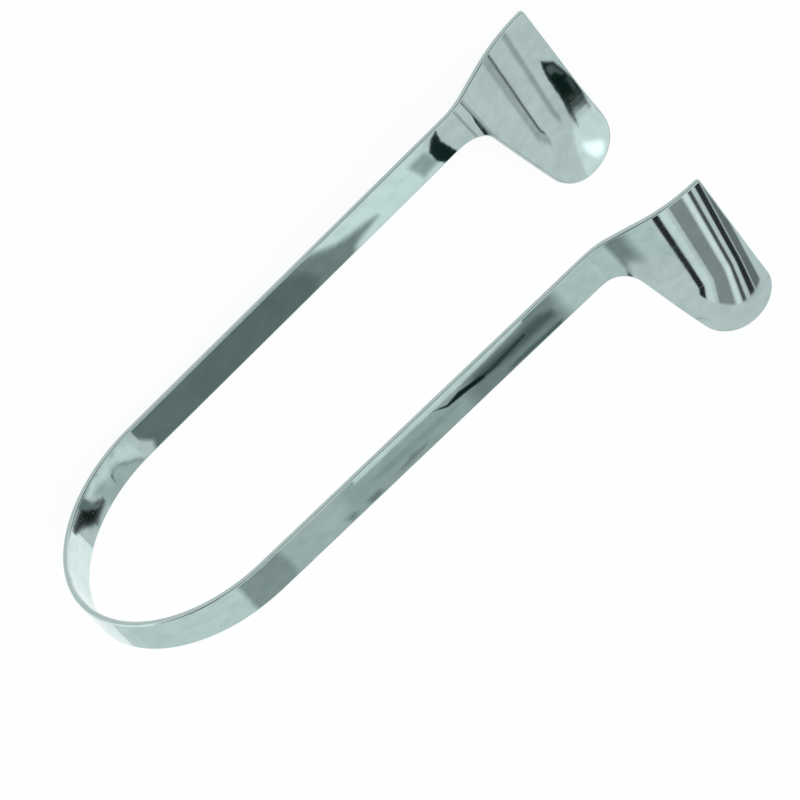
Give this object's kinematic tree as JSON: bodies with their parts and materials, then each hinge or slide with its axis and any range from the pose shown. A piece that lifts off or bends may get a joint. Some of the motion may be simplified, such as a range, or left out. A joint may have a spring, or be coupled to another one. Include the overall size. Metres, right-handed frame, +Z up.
{
  "type": "nasal speculum",
  "caption": "U-bent spring-steel strip whose outset ends are pressed into round-tipped trough blades, squeezed and let go to hold the nostrils open.",
  "frame": {"origin": "centre of the footprint's box, on the surface that the instrument lies on", "axes": "+X from the spring bend towards the blades, +Y from the blade tips towards the straight edge, +Z up; it lies on its side, on the bend and on the back of one blade"},
  "size_m": [0.1024, 0.0288, 0.0565],
  "materials": {
    "polished_steel": "mirror-polished stainless spring steel"
  },
  "bodies": {
    "root": {"speculum": "polished_steel"}
  },
  "joints": []
}
